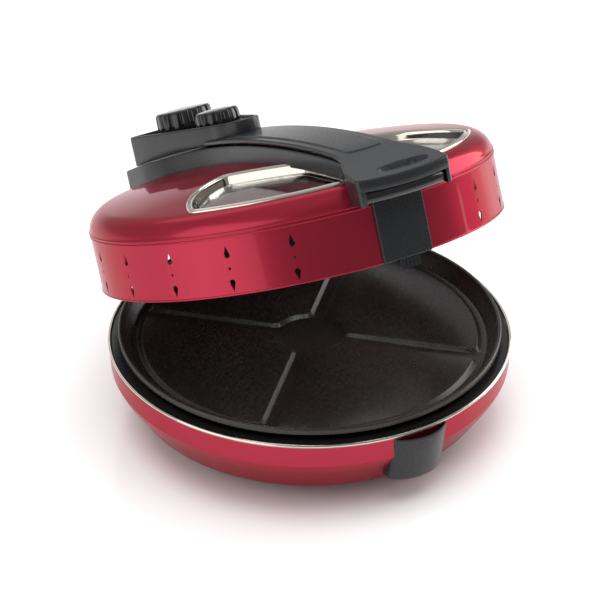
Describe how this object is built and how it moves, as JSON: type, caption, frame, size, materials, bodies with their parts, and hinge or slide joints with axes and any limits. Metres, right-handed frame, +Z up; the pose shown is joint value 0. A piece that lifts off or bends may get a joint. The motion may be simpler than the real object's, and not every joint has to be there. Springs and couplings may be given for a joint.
{
  "type": "electric griddle",
  "caption": "Round lidded electric griddle: bowl base, non-stick pan on a turntable, domed lid with bridge handle, windows, vents and heat knobs.",
  "frame": {"origin": "centre of the foot ring, on the surface the appliance stands on", "axes": "+Z up, -Y is the front with the grip, +Y the hinge side, +X to the right of a person facing the front"},
  "size_m": [0.3584, 0.4393, 0.3051],
  "materials": {
    "red_enamel": "metallic gloss",
    "polished_steel": "polished",
    "black_tray": "satin",
    "nonstick": "satin non-stick",
    "black_plastic": "satin",
    "gloss_black": "gloss",
    "steel": "brushed",
    "reflector": "bright",
    "element": "oxidised",
    "ceramic": "glazed",
    "bush_brass": "machined",
    "rubber": "matte",
    "window_glass": "clear tempered"
  },
  "bodies": {
    "base": {"base_grip": "black_plastic", "base_shell": "red_enamel", "bottom_cover": "black_tray", "bottom_screws": "steel", "cord_gland": "rubber", "drive_motor": "steel", "foot_ring": "rubber", "hinge_housing": "black_plastic", "hinge_pin": "steel", "hinge_screws": "steel", "inner_tray": "black_tray", "lower_element": "element", "lower_element_bushes": "ceramic", "lower_element_clips": "steel", "motor_bracket": "steel", "motor_screws": "steel", "rim_trim": "polished_steel", "shaft_bush": "bush_brass", "terminal_block": "black_plastic", "thermal_fuse": "steel"},
    "turntable": {"drive_shaft": "steel", "turntable_spider": "steel"},
    "pan": {"pan": "nonstick"},
    "lid": {"lid_shell": "red_enamel", "lid_reflector": "reflector", "window_bezel_left": "polished_steel", "window_bezel_right": "polished_steel", "window_glass_left": "window_glass", "window_glass_right": "window_glass", "upper_element": "element", "upper_element_bushes": "ceramic", "upper_element_clips": "steel", "bridge_base": "black_plastic", "bridge_cover": "black_plastic", "grip_band": "gloss_black", "control_housing": "black_plastic", "dial_plate": "gloss_black", "upper_thermostat": "steel", "lower_thermostat": "steel", "lid_strap": "black_plastic", "strap_screws": "steel", "latch_tab": "black_plastic", "lid_hinge_bracket": "black_plastic", "bridge_screws": "steel"},
    "upper_knob": {"upper_heat_knob": "gloss_black", "upper_spindle": "steel"},
    "lower_knob": {"lower_heat_knob": "gloss_black", "lower_spindle": "steel"}
  },
  "joints": [
    {"name": "lid_hinge", "type": "hinge", "parent": "base", "child": "lid", "pos_m": [0, 0.2052, 0.088], "axis": [-1, 0, 0], "range_deg": [-23.2, 66]},
    {"name": "turntable_spin", "type": "hinge", "parent": "base", "child": "turntable", "pos_m": [0, 0, 0.06], "axis": [0, 0, 1], "continuous": true},
    {"name": "pan_lift", "type": "slide", "parent": "turntable", "child": "pan", "axis": [0, 0, 1], "range_m": [0, 0.03]},
    {"name": "upper_heat_turn", "type": "hinge", "parent": "lid", "child": "upper_knob", "pos_m": [0, 0.21896, 0.18386], "axis": [0, -0.447, -0.8945], "range_deg": [0, 270]},
    {"name": "lower_heat_turn", "type": "hinge", "parent": "lid", "child": "lower_knob", "pos_m": [0, 0.15758, 0.21452], "axis": [0, -0.447, -0.8945], "range_deg": [0, 270]}
  ]
}
